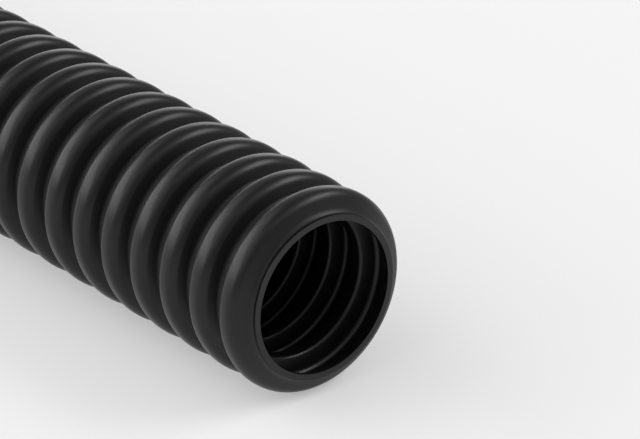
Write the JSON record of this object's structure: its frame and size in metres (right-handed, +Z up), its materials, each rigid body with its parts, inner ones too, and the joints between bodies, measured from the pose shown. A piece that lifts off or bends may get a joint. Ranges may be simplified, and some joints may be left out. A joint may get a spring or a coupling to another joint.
{
  "type": "corrugated conduit",
  "caption": "Straight length of black flexible plastic conduit, open at both ends, with rounded rings along its wall. It guides and protects cables.",
  "frame": {"origin": "on the floor plane, under the middle of the conduit's length", "axes": "+X along the conduit's axis, out of the end that the picture shows; +Z up"},
  "size_m": [1.0004, 0.032, 0.032],
  "materials": {
    "black_plastic": "satin"
  },
  "bodies": {
    "root": {"corrugated_conduit": "black_plastic"}
  },
  "joints": []
}
